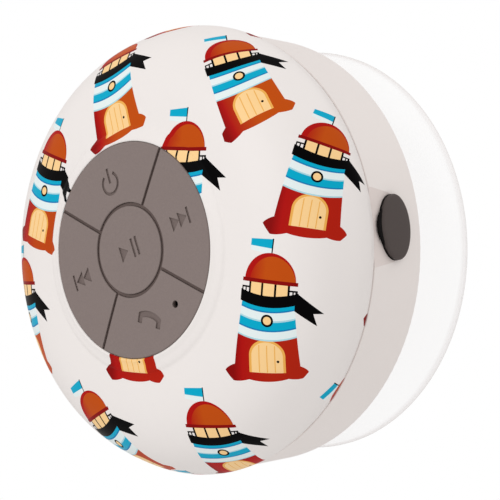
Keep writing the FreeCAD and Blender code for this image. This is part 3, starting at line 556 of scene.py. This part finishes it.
def lighthouse(shader, place, ground):
    """A cartoon lighthouse on its rock, with a flag and a pennant."""
    draw = Motif(shader, place, ground)
    # Red on the left, warmer on the right of the warmer motifs.
    from_left = shader.spread(draw.x, -4.6, 0.5, 0.0, 1.0)
    low_tone = shader.mix(draw.math("MULTIPLY", from_left, draw.warmth), RED, RUST)
    high_tone = shader.mix(shader.spread(draw.x, -4.0, -0.5, 0.0, 0.9), RED, RUST)
    rim = shader.spread(draw.x, -6.2, -4.4, 0.0, 1.0)

    # rock
    rock = draw.any_of(
        draw.ellipse(-4.6, -10.6, 3.6, 1.7, 14), draw.ellipse(4.6, -10.3, 3.4, 1.6, -16),
        draw.ellipse(0.2, -10.2, 6.0, 2.1),
    )
    draw.fill(rock, shader.mix(rim, DEEP_RED, low_tone))

    # tower with its arched door
    tower = draw.polygon((-6.0, -10.2), (6.4, -10.2), (5.2, 3.0), (-4.8, 3.0))
    draw.fill(tower, shader.mix(rim, DEEP_RED, low_tone))
    for colour, grow in ((GOLD, 0.45), (CREAM, 0.0)):
        arch = draw.ellipse(0.3, -7.2, 2.9 + grow, 2.6 + grow)
        post = draw.bar(0.3, -8.8, 2.9 + grow, 1.7)
        draw.fill(draw.any_of(arch, post), colour)
    for x in (-1.15, 0.3, 1.75):
        draw.fill(draw.bar(x, -7.8, 0.09, 2.6), GOLD)
    draw.fill(draw.ellipse(2.3, -8.2, 0.25, 0.25), BLACK)
    stripes(draw, tower, 2.6, 1.75, 4)
    draw.fill(draw.ellipse(0.3, -0.6, 1.15, 1.15), BLACK)
    draw.fill(draw.ellipse(0.3, -0.6, 0.75, 0.75), CREAM)

    # flags
    draw.fill(draw.bar(0.3, 12.7, 0.14, 1.6), BLACK)
    draw.fill(draw.polygon((-4.0, 12.7), (0.2, 12.5), (0.2, 14.2), (-4.0, 13.9)), CYAN)
    draw.fill(draw.polygon((-4.0, 11.9), (0.2, 11.4), (0.2, 12.5), (-4.0, 12.7)), PALE)
    draw.fill(draw.polygon((5.2, 1.6), (9.4, -1.2), (8.6, 1.2), (5.2, 4.0)), BLACK)
    draw.fill(draw.polygon((5.2, 3.0), (8.6, 1.2), (10.6, 1.2), (5.2, 5.2)), BLACK)

    # lantern room, roof and gallery
    draw.fill(draw.bar(0.3, 5.2, 5.3, 0.16), BLACK)
    for x in (-4.9, -4.2, 4.8, 5.5):
        draw.fill(draw.bar(x, 4.4, 0.13, 0.9), BLACK)
    draw.fill(draw.polygon((-3.5, 3.4), (4.1, 3.4), (3.9, 6.8), (-3.3, 6.8)), CREAM)
    for x in (-3.4, -0.95, 1.55, 4.0):
        draw.fill(draw.bar(x, 5.1, 0.2, 1.9), BLACK)
    above = draw.polygon((-6, 6.6), (7, 6.6), (7, 13), (-6, 13))
    roof = draw.all_of(draw.ellipse(0.3, 6.6, 4.9, 5.1), above)
    draw.fill(roof, RED)
    draw.fill(draw.all_of(roof, draw.ellipse(0.8, 6.0, 4.4, 5.1)), high_tone)
    draw.fill(draw.bar(0.3, 6.5, 5.3, 0.35), DEEP_RED)
    draw.fill(draw.all_of(draw.bar(0.3, 3.0, 5.5, 2.2), draw.strip(draw.level, 1.8, 3.9)), BLACK)
    return draw.colour


def printed_shell():
    """Smooth white plastic with motifs scattered over it."""
    shader = Shader("printed_shell")
    flat = shader.node("ShaderNodeAttribute", attribute_name="layout").outputs["Vector"]
    place = BLANK_PLACE
    for x, y, tilt, warmth in MOTIFS:
        local = shader.node("ShaderNodeMapping", vector_type="TEXTURE")
        shader.plug(local.inputs["Vector"], flat)
        local.inputs["Location"].default_value = (x, y, -warmth * WARMTH_STEP)
        local.inputs["Rotation"].default_value = (0, 0, -math.radians(tilt))
        local.inputs["Scale"].default_value = (MOTIF_HALF_WIDTH, MOTIF_HALF_HEIGHT, 1)
        near = shader.math("LESS_THAN", shader.vector("LENGTH", local.outputs[0]), 1.0)
        place = shader.mix(near, place, local.outputs[0], "VECTOR")
    place = shader.vector("MULTIPLY", place, (MOTIF_HALF_WIDTH, MOTIF_HALF_HEIGHT, 1 / WARMTH_STEP))
    cloud = shader.noise(18.0, 3.0)
    ground = shader.mix(cloud, tuple(c * 0.985 for c in SHELL_WHITE), SHELL_WHITE)
    fine = shader.noise(5.0, 2.0)
    colour = lighthouse(shader, place, ground)
    brightness = shader.node("ShaderNodeRGBToBW")
    shader.plug(brightness.inputs[0], colour)
    # The ink is matt, and the bare plastic has a soft gloss.
    shader.set(
        Base_Color=colour,
        Roughness=shader.spread(fine, 0.3, 0.7, 0.34, 0.4),
        Specular_IOR_Level=shader.spread(brightness.outputs[0], 0.3, 0.7, 0.03, 0.25),
        Normal=shader.bump(fine, 0.003),
    )
    return shader.material


# ---------------------------------------------------------------- suction cup

HUB_RADIUS = 8.5
CUP_FRONT = [
    (CUP_RADIUS - 0.5, 1.3), (36.5, 2.9), (31.0, 5.6), (23.0, 8.9), (15.0, 11.6), (HUB_RADIUS, 14.2)
]
CUP_BACK = [
    (CUP_RADIUS - 1.3, 0.0), (35.5, 1.7), (29.0, 4.3), (20.0, 7.1), (10.0, 9.0), (0.0, 9.6)
]
CUP_BEAD = [(CUP_RADIUS, 0.0), (CUP_RADIUS + 0.04, 0.5), (CUP_RADIUS - 0.1, 1.0)]


def suction_cup():
    """The clear cup between the speaker and the wall."""
    hub = [(HUB_RADIUS, HUB_DEPTH), (0.0, HUB_DEPTH)]
    outline = CUP_BEAD + natural_spline(CUP_FRONT, 40) + hub + natural_spline(CUP_BACK, 40)[::-1]
    cup = lathe("suction_cup_moulded", outline, 256)
    stand_in(cup, "suction_cup", cup_vinyl())
    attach(cup, "wall_cup")
    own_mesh(cup)


def cup_vinyl():
    """Clear vinyl, denser where it is seen edge-on and along the rim."""
    shader = Shader("cup_vinyl")
    fine = shader.noise(2.5, 3.0)
    facing = shader.node("ShaderNodeLayerWeight")
    facing.inputs["Blend"].default_value = 0.25
    x, _, z = shader.split(shader.place)
    reach = shader.math("SQRT", shader.squares(x, z))
    rim = shader.spread(reach, (CUP_RADIUS - 0.9) * MM, (CUP_RADIUS - 0.2) * MM, 0.0, 1.0)
    clear = shader.spread(facing.outputs["Facing"], 0.1, 0.8, 0.1, 0.6)
    tone = shader.mix(shader.noise(20.0), srgb(254, 253, 252), srgb(250, 248, 248))
    shader.set(
        Base_Color=shader.mix(rim, tone, srgb(234, 228, 227)),
        Roughness=shader.spread(fine, 0.3, 0.7, 0.2, 0.28),
        Normal=shader.bump(fine, 0.004),
        Alpha=shader.math("MAXIMUM", clear, shader.math("MULTIPLY", rim, 0.3)),
    )
    return shader.material


# ---------------------------------------------------------------- charging port's plug

def ellipse_reach(turn, wide, tall, centre):
    """Distance from the origin to the far side of an ellipse centred up its second axis."""
    c, t = math.cos(turn), math.sin(turn)
    a = (c / wide) ** 2 + (t / tall) ** 2
    b = -2 * t * centre / tall ** 2
    rest = (centre / tall) ** 2 - 1
    inside = b * b - 4 * a * rest
    return (-b + math.sqrt(inside)) / (2 * a) if inside > 0 else 0.0


def port_frame():
    """The port's directions: out of the housing, along its wall, and forward."""
    angle = math.radians(PORT_CLOCK)
    outward = Vector((math.sin(angle), 0, math.cos(angle)))
    along = Vector((math.cos(angle), 0, -math.sin(angle)))
    return outward, along, Vector((0, -1, 0))


def stacked(name, layers, depth):
    """A closed mesh over the port from layers of (height, reach at each angle)."""
    outward, along, forward = port_frame()
    count = len(layers[0][1])
    places, faces = [], []
    for height, reaches in layers:
        for turn, reach in zip(turns_round(count), reaches):
            point = outward * height + forward * (depth + reach * math.sin(turn))
            places.append((point + along * reach * math.cos(turn)) * MM)
    for layer in range(len(layers) - 1):
        row, following = layer * count, (layer + 1) * count
        for step in range(count):
            after = (step + 1) % count
            faces.append((row + step, row + after, following + after, following + step))
    for layer in (0, len(layers) - 1):
        places.append((outward * layers[layer][0] + forward * depth) * MM)
        row = layer * count
        for step in range(count):
            faces.append((row + step, row + (step + 1) % count, len(places) - 1))
    mesh = bpy.data.meshes.new(name)
    mesh.from_pydata([tuple(place) for place in places], [], faces)
    return finish_mesh(name, mesh)


def rounded_reach(turn, half_long, half_wide, power):
    """Distance from the middle to the edge of a rounded oblong."""
    across = abs(math.cos(turn) / half_long) ** power + abs(math.sin(turn) / half_wide) ** power
    return across ** (-1 / power)


# The insert's layers: height, half-length, half-width and squareness.
INSERT_LAYERS = [
    (INSERT_LOW, 3.5, 0.6, 6), (INSERT_LOW, 3.8, 0.9, 6), (INSERT_LOW + 0.25, 4.15, 1.2, 6),
    (CAP_LOW - 0.1, 4.2, 1.25, 6), (CAP_LOW - 0.05, 4.2, 1.25, 6), (CAP_LOW - 0.04, 5.8, 3.75, 2),
]
# The cap's layers: height, how far the edge is drawn in, and the share of the tab.
CAP_LAYERS = [
    (CAP_LOW, 0.0, 0.0), (CAP_LOW + 0.35, 0.0, 0.0), (CAP_LOW + 0.38, 0.0, 1.0),
    (TAB_TOP - 0.12, 0.0, 1.0), (TAB_TOP - 0.03, 0.06, 0.96), (TAB_TOP, 0.15, 0.9),
    (TAB_TOP + 0.02, 0.08, 0.1), (TAB_TOP + 0.06, 0.02, 0.02),
    (PLUG_FACE - 0.3, 0.0, 0.0), (PLUG_FACE - 0.18, 0.06, 0.0), (PLUG_FACE - 0.08, 0.17, 0.0),
    (PLUG_FACE - 0.02, 0.34, 0.0), (PLUG_FACE, 0.6, 0.0), (PLUG_FACE + 0.04, 1.6, 0.0),
    (PLUG_FACE + 0.06, 2.8, 0.0),
]
TAB_HALF_LENGTH = 3.35
TAB_HALF_WIDTH = 2.6
TAB_OFFSET = 2.37           # how far the tab's middle is in front of the plug's
TAB_JOIN = 20               # the higher, the sharper the corner between the tab and the cap


def port_plug():
    """Rubber plug: an oval face with a soft edge, a pull tab, and the insert behind it."""
    turns = turns_round(160)
    layers = []
    for height, *shape in INSERT_LAYERS:
        layers.append((height, [rounded_reach(turn, *shape) for turn in turns]))
    for height, drawn_in, tab in CAP_LAYERS:
        reaches = []
        for turn in turns:
            plain = ellipse_reach(turn, PLUG_HALF_LENGTH - drawn_in, PLUG_HALF_WIDTH - drawn_in, 0)
            with_tab = ellipse_reach(
                turn, TAB_HALF_LENGTH - drawn_in, TAB_HALF_WIDTH - drawn_in, TAB_OFFSET
            )
            joined = (plain ** TAB_JOIN + with_tab ** TAB_JOIN) ** (1 / TAB_JOIN)
            reaches.append(plain + (joined - plain) * tab)
        layers.append((height, reaches))
    plug = stacked("port_plug_moulded", layers, PLUG_DEPTH)
    smooth(plug, PLUG_SMOOTH_ANGLE)
    stand_in(plug, "port_plug", plug_rubber())
    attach(plug, "plug")


# The layers of the tether's cross bar: height, half-length and half-width.
BAR_LAYERS = [
    (39.02, 1.3, 0.3), (39.06, 1.5, 0.4), (39.5, 1.58, 0.44), (39.86, 1.5, 0.4), (39.9, 0.9, 0.42)
]
STRAND_LOW = 40.0
STRAND_LENGTH = 1.44
STRAND_RADIUS = 0.5
STRAND_WAIST = 0.06         # how much thinner the strand is half-way
STRAND_STEPS = 12


def plug_tether():
    """Rubber strand from a cross bar inside the wall to the plug."""
    turns = turns_round(48)
    layers = []
    for height, half_long, half_wide in BAR_LAYERS:
        layers.append((height, [rounded_reach(turn, half_long, half_wide, 4) for turn in turns]))
    for step in range(STRAND_STEPS + 1):
        share = step / STRAND_STEPS
        radius = STRAND_RADIUS - STRAND_WAIST * math.sin(math.pi * share)
        layers.append((STRAND_LOW + STRAND_LENGTH * share, [radius] * len(turns)))
    tether = stacked("plug_tether_strand", layers, TETHER_DEPTH)
    rubber = moulded("tether_rubber", srgb(42, 37, 36), 0.55, 0.25, 0.015, 0.05)
    stand_in(tether, "plug_tether", rubber)
    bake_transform(tether)


def plug_rubber():
    """Dark rubber: matt grey-brown on the face, with near-black painted shade round its foot and on
    the tab.
    """
    shader = Shader("plug_rubber")
    outward, along, forward = (tuple(axis) for axis in port_frame())
    height = shader.math("DIVIDE", shader.vector("DOT_PRODUCT", shader.place, outward), MM)
    upper = shader.spread(height, PLUG_FACE - 0.8, PLUG_FACE - 0.45, 0.0, 1.0)
    # Distance from the face's middle, as a share of the distance to its edge.
    aside = shader.math(
        "DIVIDE", shader.vector("DOT_PRODUCT", shader.place, along), PLUG_HALF_LENGTH * MM
    )
    ahead = shader.math(
        "SUBTRACT",
        shader.math(
            "DIVIDE", shader.vector("DOT_PRODUCT", shader.place, forward), PLUG_HALF_WIDTH * MM
        ),
        PLUG_DEPTH / PLUG_HALF_WIDTH,
    )
    reach = shader.math("SQRT", shader.squares(aside, ahead))
    # Painted shade: near black everywhere but the face, with weaker specular there too.
    face = shader.math("MULTIPLY", upper, shader.spread(reach, 1.005, 1.03, 1.0, 0.0))
    fine = shader.noise(0.3, 4.0)
    tone = shader.mix(fine, srgb(67, 59, 57), srgb(82, 73, 70))
    shader.set(
        Base_Color=shader.mix(face, srgb(10, 8, 8), tone),
        Roughness=shader.spread(fine, 0.3, 0.7, 0.5, 0.62),
        Specular_IOR_Level=shader.spread(face, 0.0, 1.0, 0.1, 0.35),
        Normal=shader.bump(fine, 0.012),
    )
    return shader.material


# ---------------------------------------------------------------- speaker's flexible rings

RING_SECTORS = 12
SECTOR_STEPS = 8            # facets round one sector
SURROUND_INNER = 14.3       # the radii where the surround's roll meets the cone and the basket
SURROUND_OUTER = 16.9
SURROUND_THICK = 0.35
SURROUND_LIP = 0.9          # from the roll's base to the surround's foremost point
SPIDER_INNER = 6.52
SPIDER_THICK = 0.2
SPIDER_WAVE = 0.28          # how far the corrugation goes to either side
SPIDER_WAVES = 5


def flexible_ring(node, outline, outer, material):
    """A ring between the moving cone inside it and the fixed basket outside it, made in sectors.
    """
    steps = SECTOR_STEPS
    half = math.pi / RING_SECTORS
    for sector in range(RING_SECTORS):
        middle = 2 * half * sector
        places, faces = [], []
        for step in range(steps + 1):
            turn = middle - half + 2 * half * step / steps
            for radius, depth in outline:
                x, z = radius * math.sin(turn), radius * math.cos(turn)
                places.append((x * MM, -depth * MM, z * MM))
        size = len(outline)
        for step in range(steps):
            for corner in range(size):
                after = (corner + 1) % size
                row, following = step * size, (step + 1) * size
                faces.append((row + corner, row + after, following + after, following + corner))
        faces.append(tuple(range(size)))
        faces.append(tuple(range(steps * size, (steps + 1) * size)))
        mesh = bpy.data.meshes.new(node)
        mesh.from_pydata(places, [], faces)
        piece = finish_mesh(f"{node}_sector_{sector + 1}", mesh)
        stand_in(piece, node, material)
        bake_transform(piece)


def speaker_surround():
    """The half-round rubber roll round the cone."""
    rim, _, front = span("speaker_surround")
    inner, outer, thick = SURROUND_INNER, SURROUND_OUTER, SURROUND_THICK
    level = front - SURROUND_LIP
    middle, reach, rise = (inner + outer) / 2, (outer - inner) / 2, (outer - inner) * 0.4
    upper, lower = [], []
    for step in range(15):
        turn = math.pi * step / 14
        c, s = math.cos(turn), math.sin(turn)
        upper.append((middle - reach * c, level - rise * s))
        lower.append((middle - (reach - thick) * c, level - (rise - thick) * s))
    upper = [(radius, depth) for radius, depth in upper if radius < middle or depth < level - thick]
    outline = [(inner, front), *upper, (outer, level - thick), (rim, level - thick), (rim, level)]
    outline += lower[::-1] + [(inner + thick, front)]
    rubber = moulded("surround_rubber", srgb(26, 26, 27), 0.6, 0.3, 0.01)
    flexible_ring("speaker_surround", outline, outer, rubber)


def speaker_spider():
    """The corrugated cloth disc that centres the coil."""
    outer, _, front = span("speaker_spider")
    count = 60
    upper = []
    for step in range(count + 1):
        share = step / count
        radius = SPIDER_INNER + (outer - SPIDER_INNER) * share
        wave = SPIDER_WAVE * math.cos(2 * math.pi * SPIDER_WAVES * share)
        upper.append((radius, front - SPIDER_WAVE + wave))
    outline = upper + [(radius, depth - SPIDER_THICK) for radius, depth in reversed(upper)]
    shader = Shader("spider_cloth")
    weave = shader.noise(0.35, 2.0)
    shader.set(
        Base_Color=shader.mix(weave, srgb(172, 128, 58), srgb(218, 180, 108)),
        Roughness=shader.spread(weave, 0.3, 0.7, 0.8, 0.95),
        Normal=shader.bump(weave, 0.05),
    )
    flexible_ring(
        "speaker_spider", outline, outer, shader.material
    )


# ---------------------------------------------------------------- materials of the CAD parts

# Each material slot's finish, for moulded().
FINISHES = {
    "stud_plastic": dict(colour=srgb(230, 230, 228), roughness=0.3),
    "seal_rubber": dict(colour=srgb(24, 24, 25), roughness=0.7),
    "housing_rubber": dict(colour=srgb(205, 197, 193), roughness=0.6, grain=0.3, depth=0.02),
    "zinc_steel": dict(colour=srgb(190, 192, 196), roughness=0.3, Metallic=1.0),
    "basket_steel": dict(colour=srgb(30, 30, 32), roughness=0.45),
    "membrane_fabric": dict(colour=srgb(35, 35, 36), roughness=0.9, grain=0.3, depth=0.05),
    "circuit_board": dict(colour=srgb(22, 92, 52), roughness=0.4, grain=1.5, tone=0.15),
    "switch_metal": dict(colour=srgb(186, 186, 188), roughness=0.35, Metallic=1.0),
    "chip_plastic": dict(colour=srgb(22, 22, 24), roughness=0.5),
    "component_plastic": dict(colour=srgb(120, 98, 72), roughness=0.5, grain=1.0, tone=0.3),
    "connector_plastic": dict(colour=srgb(232, 226, 208), roughness=0.5),
    "cell_foil": dict(
        colour=srgb(198, 200, 204), roughness=0.35, grain=2.5, depth=0.03, Metallic=0.9
    ),
    "tape": dict(colour=srgb(222, 186, 80), roughness=0.7),
    "lead_plastic": dict(colour=srgb(170, 28, 24), roughness=0.45),
    "cone_paper": dict(colour=srgb(32, 32, 33), roughness=0.85, grain=0.4, depth=0.05),
    "copper": dict(colour=srgb(205, 122, 74), roughness=0.3, Metallic=1.0),
    "magnet": dict(colour=srgb(152, 154, 158), roughness=0.35, Metallic=0.8),
    "lamp_lens": dict(colour=srgb(224, 234, 250), roughness=0.15),
}


def paint_parts():
    """Paints each CAD node that stays visible, by its material slot."""
    materials = {slot: moulded(slot, **finish) for slot, finish in FINISHES.items()}
    materials["housing_plastic"] = housing_plastic()
    materials["keypad_silicone"] = keypad_silicone()
    materials["can_metal"] = materials["switch_metal"]
    materials["switch_plastic"] = materials["chip_plastic"]
    for part in frame["record"]["subparts"]:
        material = materials.get(part["material_slot"])
        if material and not frame["nodes"][part["node"]].hide_render:
            paint(part["node"], material)


# ---------------------------------------------------------------- camera, light and floor

VIEW_TURN = 42.71       # the camera's angle from the front of the object
ROLL = 23.0             # how far the object is turned in its own plane, anticlockwise
CAMERA_DISTANCE = 393.6
CAMERA_SHIFT = 8.68     # how far the object's middle is left of the picture's middle
LENS = 146.5
MIDDLE = Vector((0, -PARTING_DEPTH * MM, 0))
AMBIENT = (0.738, 0.706, 0.693)     # the studio's soft light from all round
FLOOR_DROP = 260.0
FLOOR_HALF = 20000.0

# Each lamp's place as shares of the camera's right, up and backward directions, then its
# distance and size in metres and its power in watts.
LAMPS = {
    "key": ((-0.75, 0.5, 0.75), 0.9, 0.7, 2.4),
    "side": ((0.8, 0.9, -0.1), 0.9, 0.6, 1.0),
}


def view_axes():
    """The camera's right, up and backward directions in the object's frame."""
    turn, roll = math.radians(VIEW_TURN), math.radians(ROLL)
    sideways = Vector((math.cos(roll), 0, -math.sin(roll)))
    up = Vector((math.sin(roll), 0, math.cos(roll)))
    front = Vector((0, -1, 0))
    back = sideways * math.sin(turn) + front * math.cos(turn)
    right = sideways * math.cos(turn) - front * math.sin(turn)
    return right, up, back


def camera():
    right, up, back = view_axes()
    made = bpy.data.cameras.new("camera")
    made.lens = LENS
    made.sensor_width = 36
    made.clip_start = 0.01
    obj = add_object("camera", made)
    turned = Matrix((right, up, back)).transposed().to_4x4()
    place = MIDDLE + back * CAMERA_DISTANCE * MM + right * CAMERA_SHIFT * MM
    obj.matrix_world = Matrix.Translation(place) @ turned
    bpy.context.scene.camera = obj


def lamp(name, shares, distance, size, power):
    """Soft square light, placed by the camera's own directions and aimed at the object."""
    right, up, back = view_axes()
    away = (right * shares[0] + up * shares[1] + back * shares[2]).normalized()
    made = bpy.data.lights.new(name, "AREA")
    made.shape = "SQUARE"
    made.size = size
    made.energy = power
    turned = away.to_track_quat("Z", "Y").to_matrix().to_4x4()
    add_object(name, made).matrix_world = Matrix.Translation(MIDDLE + away * distance) @ turned


def stage():
    """The studio's light, and the floor. The camera sees plain white past the floor."""
    world = bpy.data.worlds.new("studio")
    world.use_nodes = True
    bpy.context.scene.world = world
    tree = world.node_tree
    seen = tree.nodes.new("ShaderNodeLightPath")
    light = tree.nodes.new("ShaderNodeMix")
    light.data_type = "RGBA"
    shining, backdrop, output = MIX_SOCKETS["RGBA"]
    tree.links.new(seen.outputs["Is Camera Ray"], light.inputs[0])
    light.inputs[shining].default_value = (*AMBIENT, 1.0)
    light.inputs[backdrop].default_value = (1.0, 1.0, 1.0, 1.0)
    tree.links.new(light.outputs[output], tree.nodes["Background"].inputs["Color"])
    for name, settings in LAMPS.items():
        lamp(name, *settings)

    mesh = bpy.data.meshes.new("floor")
    half, drop = FLOOR_HALF * MM, -FLOOR_DROP * MM
    corners = [(-half, -half, drop), (half, -half, drop), (half, half, drop), (-half, half, drop)]
    mesh.from_pydata(corners, [], [(0, 1, 2, 3)])
    floor = add_object("floor", mesh)
    floor.data.materials.append(moulded("floor_pale", (0.85, 0.85, 0.85), 0.8, 20, 0.1, 0.01))
    bpy.context.scene.view_settings.view_transform = "Standard"


front_shell()
suction_cup()
port_plug()
plug_tether()
speaker_surround()
speaker_spider()
paint_parts()
camera()
stage()
